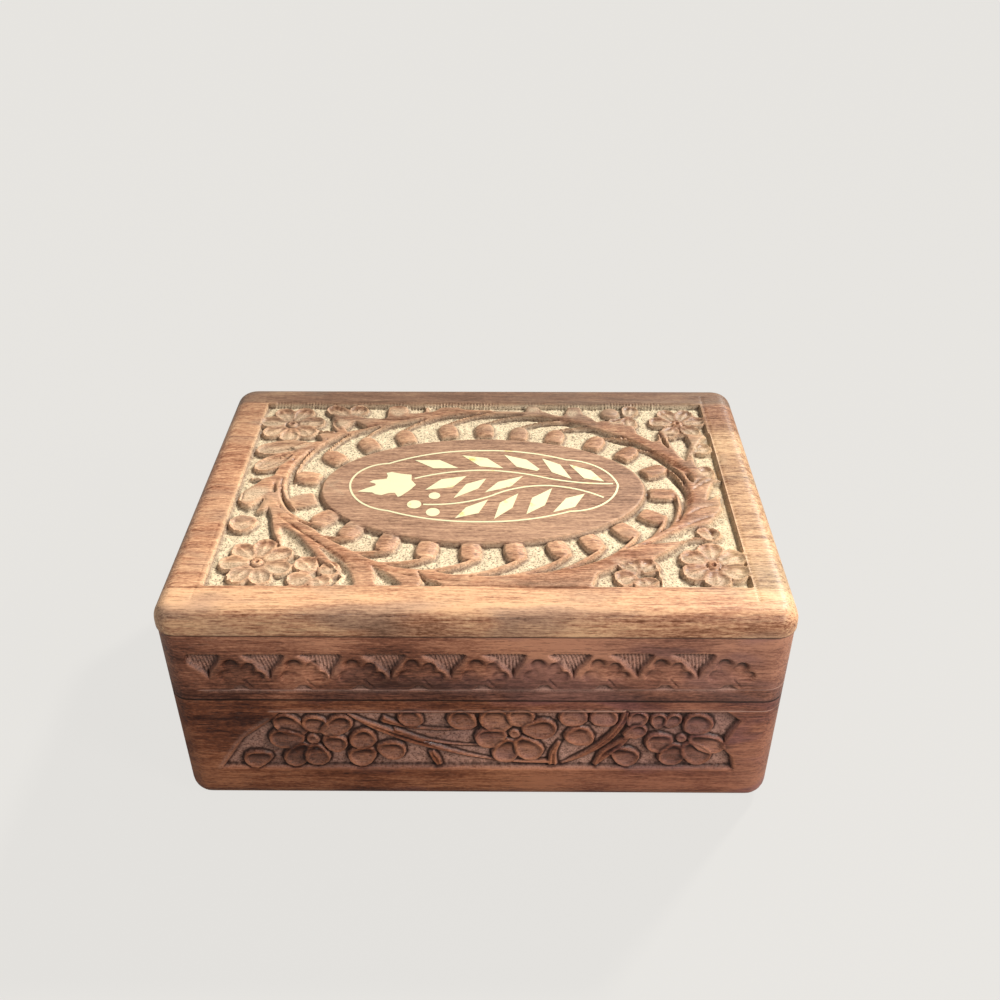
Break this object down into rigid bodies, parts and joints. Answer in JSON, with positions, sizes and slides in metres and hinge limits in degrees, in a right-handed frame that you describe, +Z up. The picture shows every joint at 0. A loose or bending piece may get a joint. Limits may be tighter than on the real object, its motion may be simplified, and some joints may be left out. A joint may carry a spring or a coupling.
{
  "type": "keepsake box",
  "caption": "Small carved hardwood box with a hinged lid, floral relief on the lid and sides, and a vine of brass inlaid in an oval on top.",
  "frame": {"origin": "centre of the box's footprint, on the surface that it stands on", "axes": "+X to the right along the longer side, +Y to the hinged back, +Z up"},
  "size_m": [0.178, 0.127, 0.075],
  "materials": {
    "carved_wood": "hand-carved rosewood, waxed on the high faces and bare in the stippled ground",
    "base_wood": "plain sanded hardwood",
    "inlay_brass": "filed flush and buffed, slightly dulled",
    "hinge_brass": "pressed sheet brass, lightly aged",
    "pin_steel": "drawn wire",
    "velvet": "short-pile velvet, glued down"
  },
  "bodies": {
    "tray": {"front_wall": "carved_wood", "back_wall": "carved_wood", "left_wall": "carved_wood", "right_wall": "carved_wood", "base_board": "base_wood", "floor_lining": "velvet", "front_lining": "velvet", "back_lining": "velvet", "left_lining": "velvet", "right_lining": "velvet", "left_hinge_tray_leaf": "hinge_brass", "right_hinge_tray_leaf": "hinge_brass", "left_hinge_pin": "pin_steel", "right_hinge_pin": "pin_steel", "tray_hinge_screws": "hinge_brass"},
    "lid": {"lid_board": "carved_wood", "lid_front_rail": "carved_wood", "lid_back_rail": "carved_wood", "lid_left_rail": "carved_wood", "lid_right_rail": "carved_wood", "inlay_oval": "inlay_brass", "inlay_stems": "inlay_brass", "inlay_leaves": "inlay_brass", "inlay_bud": "inlay_brass", "inlay_berries": "inlay_brass", "lid_lining": "velvet", "left_hinge_lid_leaf": "hinge_brass", "right_hinge_lid_leaf": "hinge_brass", "lid_hinge_screws": "hinge_brass"}
  },
  "joints": [
    {"name": "lid_hinge", "type": "hinge", "parent": "tray", "child": "lid", "pos_m": [0, 0.0611, 0.043], "axis": [-1, 0, 0], "range_deg": [0, 102]}
  ]
}
